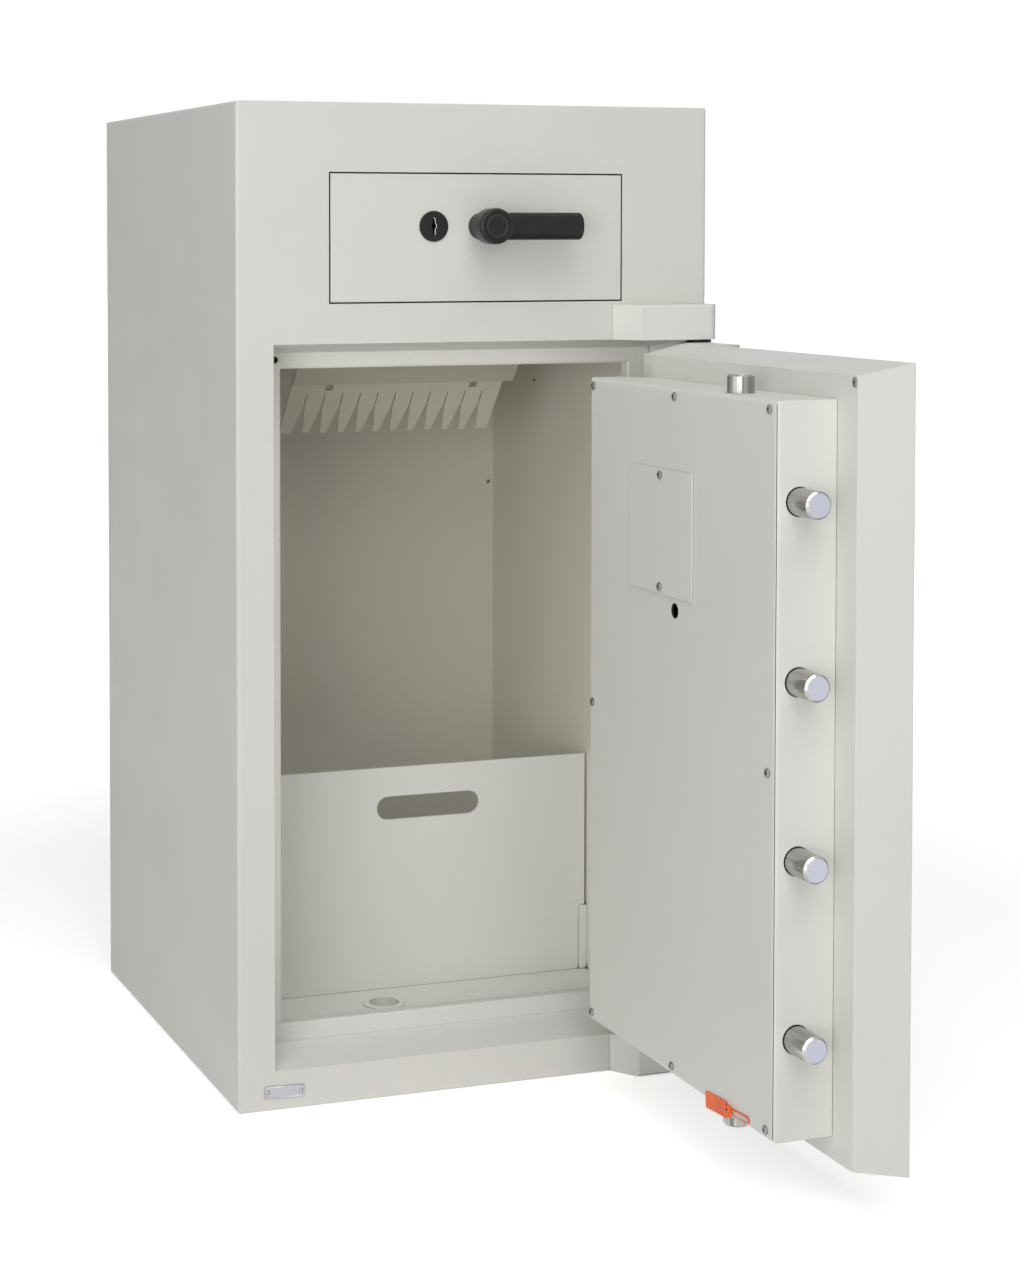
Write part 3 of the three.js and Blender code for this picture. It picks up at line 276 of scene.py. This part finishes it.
SIDE_CHROME = metal(
    "side_chrome", CHROME, 0.26, 520, (1, 0.02, 1), 0.3,
    ("Y", CHROME_END, CHROME_END_ROUGHNESS),
)
END_CHROME = metal(
    "end_chrome", CHROME, 0.28, 380, (1, 1, 0.02), 0.6,
    ("Z", CHROME_END, CHROME_END_ROUGHNESS),
)
# Painted shade: the spindle, the hinge pins and the lock cores sit in holes and gaps, and their
# steel is coloured near black for the shade there.
PAINTED_SHADE_STEEL = metal("painted_shade_steel", (0.02, 0.02, 0.021), 0.45, 900, ANY_WAY)
# Bright steel, for the plate's rim and for the keyhole's edge, where it carries a painted
# highlight.
BRIGHT_STEEL = metal("bright_steel", (0.75, 0.75, 0.76), 0.25, 900, ANY_WAY)
PLATE_STEEL = metal(
    "plate_steel", (0.3, 0.3, 0.31), 0.3, 900, ALONG_X, 0.12, ("Y", (0.45, 0.44, 0.47), 0.42)
)
GLOSS_BLACK = plastic("gloss_black", (0.012, 0.012, 0.013), 0.2, 0.0002, 0.6)
# Painted shade: a near-black for the dark line along the cover's edge, the hole behind the
# spindle and the hole in the tag.
PAINTED_SHADE_BLACK = plastic("painted_shade_black", (0.02, 0.019, 0.017), 0.7, 0.0001, 0.1)

# Painted shade and light on the body: its coat is a darker copy of the door's grey_paint, and the
# rebate, the cavity and the cavity's floor are painted brighter, the cavity also warmer, for
# light that reaches into them.
REBATE = ((-0.245, -0.2618, 0.02), (0.245, -0.205, 0.98))
CAVITY = ((-0.24, -0.205, 0.02), (0.24, 0.24, 0.98))
CAVITY_FLOOR = ((-0.24, -0.205, 0.02), (0.24, 0.24, 0.0455))
BODY_SHADE_AND_LIGHT_PAINT = paint(
    "body_shade_and_light_paint", (0.662, 0.648, 0.612), (0.638, 0.625, 0.59), 0.5, BODY_EDGE,
    lit_zones=[
        ((0.725, 0.73, 0.7), REBATE),
        ((0.78, 0.758, 0.667), CAVITY),
        ((0.755, 0.75, 0.725), CAVITY_FLOOR),
    ],
)
# Painted shade: the drawer's front is a darker copy of the door's grey_paint.
SHADED_FRONT_PAINT = paint("shaded_front_paint", (0.668, 0.656, 0.62), (0.645, 0.634, 0.598), 0.5, BODY_EDGE)
# Painted light: the stop frame's coat turns brighter above its lower rail, for light on the posts
# and lintel.
FRAME_PAINT_LIT_ABOVE = paint(
    "frame_paint_lit_above", (0.67, 0.66, 0.635), (0.65, 0.64, 0.615), 0.5, SHEET_EDGE,
    lit_rise=((0.875, 0.86, 0.81), 0.07, 0.22),
)
# Painted shade: the comb, its carrier and the shelf deep in the safe get darker, warmer copies of
# the coat, for the shade and warm bounced light there.
SHADED_COMB_PAINT = paint("shaded_comb_paint", (0.645, 0.622, 0.54), (0.625, 0.602, 0.52), 0.52, SHEET_EDGE)
DEEP_SHADE_PAINT = paint("deep_shade_paint", (0.55, 0.53, 0.45), (0.53, 0.51, 0.435), 0.52, SHEET_EDGE)
# Painted light: the anchor grommet gets a paler copy of the coat, against the shade in its bore.
LIT_GROMMET_PAINT = paint("lit_grommet_paint", (0.76, 0.755, 0.725), (0.74, 0.735, 0.705), 0.45, SHEET_EDGE)

OWN_MATERIALS = {
    "cabinet_body": BODY_SHADE_AND_LIGHT_PAINT,
    "drawer_front": SHADED_FRONT_PAINT,
    "door_stop_frame": FRAME_PAINT_LIT_ABOVE,
    "drop_comb": SHADED_COMB_PAINT,
    "comb_carrier": DEEP_SHADE_PAINT,
    "compartment_shelf": DEEP_SHADE_PAINT,
    "anchor_grommet": LIT_GROMMET_PAINT,
    **{f"side_bolt_{number}": SIDE_CHROME for number in range(1, 5)},
    "upper_bolt": END_CHROME,
    "lower_bolt": END_CHROME,
    "door_spindle": PAINTED_SHADE_STEEL,
    "hinge_pin_upper": PAINTED_SHADE_STEEL,
    "hinge_pin_lower": PAINTED_SHADE_STEEL,
    "drawer_lock_core": PAINTED_SHADE_STEEL,
    "door_lock_core": PAINTED_SHADE_STEEL,
    "bare_nameplate": PLATE_STEEL,
}


def dress_nodes():
    slots = {part["node"]: part["material_slot"] for part in frame["record"]["subparts"]}
    for name, node in frame["nodes"].items():
        node.data.materials.clear()
        node.data.materials.append(OWN_MATERIALS.get(name, MATERIALS[slots[name]]))


dress_nodes()


# Helpers for the small pieces


def add_wire(mesh, points, radius, closed, sides):
    """A round wire through the points, capped at its ends unless it is closed."""
    count = len(points)
    rings = []
    for index, point in enumerate(points):
        last = points[index - 1] if index or closed else point
        following = points[(index + 1) % count] if index + 1 < count or closed else point
        along = (following - last).normalized()
        across = along.orthogonal() if not rings else rings[-1][1]
        across = (across - along * across.dot(along)).normalized()
        other = along.cross(across)
        ring = [mesh.verts.new(point + a * across + b * other) for a, b in circle(radius, sides)]
        rings.append((ring, across))
    pairs = list(zip(rings, rings[1:]))
    if closed:
        pairs.append((rings[-1], rings[0]))
    for (first, _), (second, _) in pairs:
        join_rings(mesh, first, second)
    if not closed:
        mesh.faces.new(list(reversed(rings[0][0])))
        mesh.faces.new(rings[-1][0])


def join_rings(mesh, first, second):
    for step in range(len(first)):
        beside = (step + 1) % len(first)
        mesh.faces.new((first[step], first[beside], second[beside], second[step]))


def circle(radius, count):
    turns = [2 * math.pi * step / count for step in range(count)]
    return [(radius * math.cos(turn), radius * math.sin(turn)) for turn in turns]


def add_piece(name, mesh, material, body):
    bmesh.ops.recalc_face_normals(mesh, faces=mesh.faces)
    for face in mesh.faces:
        face.smooth = len(face.verts) == 4
    data = bpy.data.meshes.new(name)
    mesh.to_mesh(data)
    mesh.free()
    data.materials.append(material)
    piece = bpy.data.objects.new(name, data)
    bpy.context.collection.objects.link(piece)
    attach(piece, body)


def make_wire(name, points, radius, material, body, closed=False, sides=8):
    mesh = bmesh.new()
    add_wire(mesh, points, radius, closed, sides)
    add_piece(name, mesh, material, body)


def middle_of(node):
    low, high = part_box(node)
    return (Vector(low) + Vector(high)) / 2


def on_face(right, out, place, outline):
    """The outline's points, which go right and up over a face, about a place on it."""
    up = Vector((0, 0, 1))
    axes = Matrix.Translation(place) @ Matrix((right, up, out)).transposed().to_4x4()
    return [axes @ Vector((along, above, 0)) for along, above in outline]


# Small pieces on the faces

CAP_RING = 0.0106
CAP_RING_WIRE = 0.0005
# A bright steel wire along the keyhole's edge: the lock's edge, with a painted highlight on it.
KEYHOLE_GLINT_WIRE = 0.00035
KEYHOLE_EDGE_GLINT = (
    (-0.0006, 0.0087),
    (0.0009, 0.0078),
    (0.0012, 0.005),
    (0.0013, 0.0027),
    (0.0023, 0.0014),
    (0.0027, 0.0),
    (0.0023, -0.0014),
    (0.0013, -0.0027),
    (0.001, -0.0052),
    (0.0012, -0.0078),
    (0.0004, -0.0088),
)

# Painted shade: a dark line along the bend of the cover's free edge.
EDGE_SHADE_BEND = 0.004
EDGE_SHADE_TURN = math.radians(40)
EDGE_SHADE_INSET = 0.003
EDGE_SHADE_WIRE = 0.00036

# Painted shade: a dark sleeve inside the cover's hole behind the spindle.
HOLE_SHADE_RADIUS = 0.00715
HOLE_SHADE_WALL = 0.0003
HOLE_SHADE_PROUD = 0.0002
HOLE_SHADE_DEPTH = 0.003

RIM_HALF_WIDTH = 0.0201
RIM_HALF_HEIGHT = 0.0052
RIM_TILT = math.radians(-2)
RIM_DEPTH = 0.001
RIM_WIRE = 0.0003

TAG_HOLE_Y = -0.6165
TAG_HOLE_Z = 0.0785
TAG_HOLE_RADIUS = 0.0014
TAG_HOLE_DEPTH = 0.0005
TAG_HOLE_PROUD = 0.0001


def on_front_of(node, place, outward):
    """The place, moved onto the node's outermost face."""
    axis = max(range(3), key=lambda number: abs(outward[number]))
    side = 1 if outward[axis] > 0 else 0
    moved = place.copy()
    moved[axis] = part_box(node)[side][axis]
    return moved


def dress_face(name, right, out, carrier):
    """The ring on the lever's cap, and a bright steel wire along the edge of the keyhole on the
    face of a door: the lock's steel edge, with a painted highlight on it.
    """
    right, out = Vector(right), Vector(out)
    lever, rose = name + "_lever", name + "_lock_rose"
    head = on_front_of(lever, middle_of(name + "_spindle"), out)
    make_wire(
        name + "_cap_ring", on_face(right, out, head, circle(CAP_RING, 48)), CAP_RING_WIRE,
        GLOSS_BLACK, name + "_handle", closed=True,
    )
    lock = on_front_of(rose, middle_of(rose), out)
    make_wire(
        name + "_keyhole_edge_glint", on_face(right, out, lock, KEYHOLE_EDGE_GLINT), KEYHOLE_GLINT_WIRE,
        BRIGHT_STEEL, carrier,
    )


def make_cover_edge_shade():
    """A dark wire where the cover's free side meets its face: a painted shade line."""
    low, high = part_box("boltwork_cover")
    x = low[0] + EDGE_SHADE_BEND - EDGE_SHADE_BEND * math.cos(EDGE_SHADE_TURN)
    y = low[1] + EDGE_SHADE_BEND - EDGE_SHADE_BEND * math.sin(EDGE_SHADE_TURN)
    ends = [Vector((x, y, low[2] + EDGE_SHADE_INSET)), Vector((x, y, high[2] - EDGE_SHADE_INSET))]
    make_wire("cover_edge_shade", ends, EDGE_SHADE_WIRE, PAINTED_SHADE_BLACK, "door", sides=6)


def make_hole_shade():
    """A thin dark sleeve in the cover's hole behind the spindle: painted shade inside the hole.
    """
    centre = middle_of("door_spindle")
    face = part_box("boltwork_cover")[0][0]
    front, back = face - HOLE_SHADE_PROUD, face + HOLE_SHADE_DEPTH
    inner = HOLE_SHADE_RADIUS - HOLE_SHADE_WALL
    section = ((front, HOLE_SHADE_RADIUS), (front, inner), (back, inner), (back, HOLE_SHADE_RADIUS))
    mesh = bmesh.new()
    rings = [
        [mesh.verts.new((x, centre.y + a, centre.z + b)) for a, b in circle(radius, 32)]
        for x, radius in section
    ]
    for ring, following in zip(rings, rings[1:] + rings[:1]):
        join_rings(mesh, ring, following)
    add_piece("spindle_hole_shade", mesh, PAINTED_SHADE_BLACK, "door")


def make_plate_rim():
    """The raised rim of the bare plate, tilted as the plate is."""
    place = middle_of("bare_nameplate")
    place.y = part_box("bare_nameplate")[0][1] + RIM_DEPTH
    cosine, sine = math.cos(RIM_TILT), math.sin(RIM_TILT)
    corners = [
        (a * RIM_HALF_WIDTH, b * RIM_HALF_HEIGHT) for a, b in ((-1, -1), (1, -1), (1, 1), (-1, 1))
    ]
    outline = [(a * cosine - b * sine, a * sine + b * cosine) for a, b in corners]
    points = on_face(Vector((1, 0, 0)), Vector((0, -1, 0)), place, outline)
    make_wire(
        "plate_rim", points, RIM_WIRE, BRIGHT_STEEL, "cabinet", closed=True, sides=6
    )


def make_tag_shade_spot():
    """A dark disc at the hole in the head of the tag, where the strap is pushed in: painted shade
    of the hole.
    """
    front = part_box("security_tag")[0][0]
    ends = [
        Vector((x, TAG_HOLE_Y, TAG_HOLE_Z))
        for x in (front + TAG_HOLE_DEPTH, front - TAG_HOLE_PROUD)
    ]
    make_wire("tag_shade_spot", ends, TAG_HOLE_RADIUS, PAINTED_SHADE_BLACK, "door", sides=16)


dress_face("drawer", right=(1, 0, 0), out=(0, -1, 0), carrier="drawer")
dress_face("door", right=(0, 1, 0), out=(1, 0, 0), carrier="door")
make_cover_edge_shade()
make_hole_shade()
make_plate_rim()
make_tag_shade_spot()


# Stage, light and camera

FLOOR_HALF = 30
FLOOR_DROP = 0.0005
GLOW_NEAR, GLOW_FAR = 0.9, 2.6
GLOW_LOW, GLOW_HIGH = 0.55, 0.95
SOFT_WORLD = 0.2
LAMPS = (
    ("low_left", (-3.2, -4.2, 0.9), (0, 0, 0.4), (2.6, 1.8), 73),
    ("upper_left", (-2.9, -2.4, 3.0), (0, -0.2, 0.4), (2.4, 2.0), 21),
    ("upper_front", (-1.2, -3.2, 3.2), (0, 0, 0.4), (2.2, 2.2), 25),
    ("front", (-0.3, -4.2, 2.2), (0, 0, 0.4), (1.6, 1.4), 13),
    ("steep", (-0.2, -2.2, 3.9), (0, -0.2, 0.4), (2.4, 2.0), 38),
)


def seen_rays(tree):
    """1 for camera, glossy and transmission rays, and 0 for the rest."""
    path = tree.nodes.new("ShaderNodeLightPath")
    total = path.outputs["Is Camera Ray"]
    for name in ("Is Glossy Ray", "Is Transmission Ray"):
        total = add_math(tree, "MAXIMUM", total, path.outputs[name])
    return total


def pick_for_seen(tree, plain, seen, output):
    """The plain shader, with the seen one in its place for the rays that show the stage."""
    pick = tree.nodes.new("ShaderNodeMixShader")
    tree.links.new(seen_rays(tree), pick.inputs[0])
    tree.links.new(plain, pick.inputs[1])
    tree.links.new(seen, pick.inputs[2])
    tree.links.new(pick.outputs["Shader"], tree.nodes[output].inputs["Surface"])


def make_floor():
    """A pale floor that glows more, the farther it is, for the rays that show it."""
    mesh = bmesh.new()
    bmesh.ops.create_grid(mesh, x_segments=8, y_segments=8, size=FLOOR_HALF)
    data = bpy.data.meshes.new("floor")
    mesh.to_mesh(data)
    mesh.free()
    floor = bpy.data.objects.new("floor", data)
    bpy.context.collection.objects.link(floor)
    floor.location.z = cad_box[0][2] - FLOOR_DROP
    material, tree, shader = new_material("pale_floor")
    cloud = add_noise(tree, 2.0, detail=2.0)
    tint = add_mix(tree, cloud, (0.93, 0.93, 0.925), (0.95, 0.95, 0.945))
    tree.links.new(tint, shader.inputs["Base Color"])
    shader.inputs["Roughness"].default_value = 0.9
    shader.inputs["Specular IOR Level"].default_value = 0.1
    coordinates = tree.nodes.new("ShaderNodeTexCoord")
    reach = tree.nodes.new("ShaderNodeVectorMath")
    reach.operation = "LENGTH"
    tree.links.new(coordinates.outputs["Object"], reach.inputs[0])
    strength = add_range(tree, reach.outputs["Value"], GLOW_NEAR, GLOW_FAR, GLOW_LOW, GLOW_HIGH)
    glow = tree.nodes.new("ShaderNodeEmission")
    tree.links.new(strength, glow.inputs["Strength"])
    both = tree.nodes.new("ShaderNodeAddShader")
    tree.links.new(shader.outputs["BSDF"], both.inputs[0])
    tree.links.new(glow.outputs["Emission"], both.inputs[1])
    pick_for_seen(tree, shader.outputs["BSDF"], both.outputs["Shader"], "Material Output")
    data.materials.append(material)


def make_world():
    """A plain soft world, which the camera, the metal and clear plastic see as white."""
    world = bpy.data.worlds.new("studio")
    bpy.context.scene.world = world
    world.use_nodes = True
    tree = world.node_tree
    soft = tree.nodes["Background"]
    white = tree.nodes.new("ShaderNodeBackground")
    for shader, strength in ((soft, SOFT_WORLD), (white, 1.0)):
        shader.inputs["Color"].default_value = (1, 1, 1, 1)
        shader.inputs["Strength"].default_value = strength
    pick_for_seen(tree, soft.outputs["Background"], white.outputs["Background"], "World Output")


def make_lamp(name, place, target, size, power):
    light = bpy.data.lights.new(name, "AREA")
    light.shape = "RECTANGLE"
    light.size, light.size_y = size
    light.energy = power
    lamp = bpy.data.objects.new(name, light)
    bpy.context.collection.objects.link(lamp)
    lamp.location = place
    lamp.rotation_euler = (Vector(target) - Vector(place)).to_track_quat("-Z", "Y").to_euler()


def make_camera():
    """The photograph's view, fitted to the straight edges of the body and the open door."""
    data = bpy.data.cameras.new("photo_view")
    data.sensor_fit = "AUTO"
    data.sensor_width = 36
    data.lens = 73.30
    data.shift_x = 0.1185
    data.shift_y = -0.2286
    camera = bpy.data.objects.new("photo_view", data)
    bpy.context.collection.objects.link(camera)
    camera.location = (-0.97949, -2.68255, 0.87061)
    camera.rotation_mode = "XYZ"
    camera.rotation_euler = [math.radians(turn) for turn in (90 - 2.4672, 0.0444, -19.4138)]
    bpy.context.scene.camera = camera


make_floor()
make_world()
for lamp in LAMPS:
    make_lamp(*lamp)
make_camera()
bpy.context.scene.view_settings.view_transform = "Standard"
